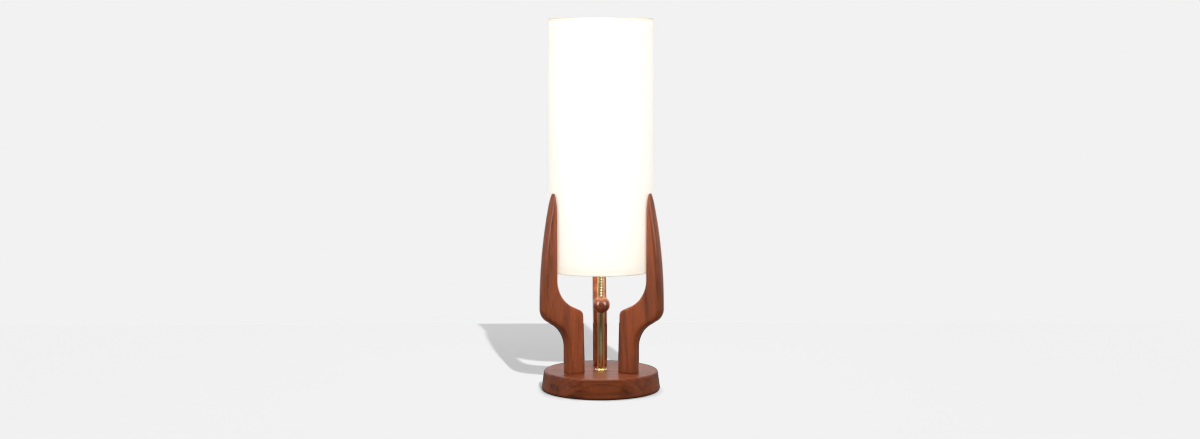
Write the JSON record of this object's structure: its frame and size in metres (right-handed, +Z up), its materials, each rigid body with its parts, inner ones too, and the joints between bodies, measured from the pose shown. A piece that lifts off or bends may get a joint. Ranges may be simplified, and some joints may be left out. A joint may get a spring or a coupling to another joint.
{
  "type": "table lamp",
  "caption": "Tripod table lamp: bent wooden legs on a turned disc foot hold a tall drum shade over a brass pipe, with a pull-chain switch and wooden ball.",
  "frame": {"origin": "on the pipe's axis, at the underside of the felt that the lamp stands on", "axes": "+Z up along the pipe; -Y towards the front, where the pull chain hangs; +X to the right seen from the front; the rear leg stands along +Y"},
  "size_m": [0.1828, 0.1901, 0.5525],
  "materials": {
    "walnut": "satin lacquered reddish walnut",
    "walnut_ball": "satin lacquered reddish walnut",
    "felt": "dark wool felt",
    "black_plastic": "moulded black plastic",
    "zinc_steel": "zinc plated",
    "beech": "bare beech",
    "brass": "satin brass plate",
    "wire_black": "black insulation",
    "wire_white": "white insulation",
    "white_wire": "white powder coat",
    "shade_cloth": "off-white woven cloth on stiff backing",
    "trim_tape": "folded cloth binding",
    "fibre": "vulcanised fibre",
    "phenolic": "dark phenolic",
    "screw_shell": "bright rolled sheet",
    "chain_brass": "polished brass plate",
    "black_glass": "black vitrite",
    "tin": "solder",
    "bulb_glass": "clear glass",
    "clear_glass": "clear glass",
    "filament": "phosphor coated filament"
  },
  "bodies": {
    "lamp": {"base": "walnut", "leg_left": "walnut", "leg_right": "walnut", "leg_rear": "walnut", "base_felt": "felt", "cord_bushing": "black_plastic", "leg_screws": "zinc_steel", "leg_dowels": "beech", "stem": "brass", "stem_check_ring": "brass", "stem_washer": "zinc_steel", "stem_nut": "zinc_steel", "fitter_collar": "brass", "lead_wire_live": "wire_black", "lead_wire_neutral": "wire_white", "shade_fitter": "white_wire", "shade_top_ring": "white_wire", "shade": "shade_cloth", "shade_trim_bottom": "trim_tape", "shade_trim_top": "trim_tape", "socket_cap": "brass", "socket_shell": "brass", "socket_liner": "fibre", "socket_set_screw": "brass", "socket_block": "phenolic", "terminal_screws": "brass", "socket_screw_shell": "screw_shell", "socket_centre_contact": "brass", "switch_lever_pin": "zinc_steel", "switch_guard": "brass", "bulb_cap": "screw_shell", "bulb_insulator": "black_glass", "bulb_tip": "tin", "bulb_glass": "bulb_glass", "bulb_mount": "clear_glass", "bulb_filaments": "filament"},
    "switch_lever": {"switch_lever": "brass"},
    "switch_rotor": {"switch_rotor": "phenolic"},
    "chain_upper": {"chain_ring": "chain_brass", "chain_upper": "chain_brass"},
    "chain_coupling": {"chain_coupling": "chain_brass"},
    "chain_lower": {"chain_lower": "chain_brass", "pull_ball": "walnut_ball"}
  },
  "joints": [
    {"name": "pull_switch", "type": "hinge", "parent": "lamp", "child": "switch_lever", "pos_m": [0, -0.009, 0.2221], "axis": [1, 0, 0], "range_deg": [0, 22], "stiffness_Nm_per_rad": 0.02},
    {"name": "rotor_turn", "type": "hinge", "parent": "lamp", "child": "switch_rotor", "pos_m": [0, 0, 0.2211], "axis": [1, 0, 0], "range_deg": [-90, 0]},
    {"name": "chain_upright", "type": "hinge", "parent": "switch_lever", "child": "chain_upper", "pos_m": [0, -0.0235, 0.2221], "axis": [1, 0, 0], "range_deg": [-22, 0]},
    {"name": "chain_swing", "type": "hinge", "parent": "chain_upper", "child": "chain_coupling", "pos_m": [0, -0.0235, 0.19668], "axis": [1, 0, 0], "range_deg": [-40, 3]},
    {"name": "chain_sway", "type": "hinge", "parent": "chain_coupling", "child": "chain_lower", "pos_m": [0, -0.0235, 0.1887], "axis": [0, 1, 0], "range_deg": [-18, 18]}
  ],
  "couplings": [
    {"joint": "rotor_turn", "follows": "pull_switch", "ratio": -4.0909},
    {"joint": "chain_upright", "follows": "pull_switch", "ratio": -1}
  ]
}
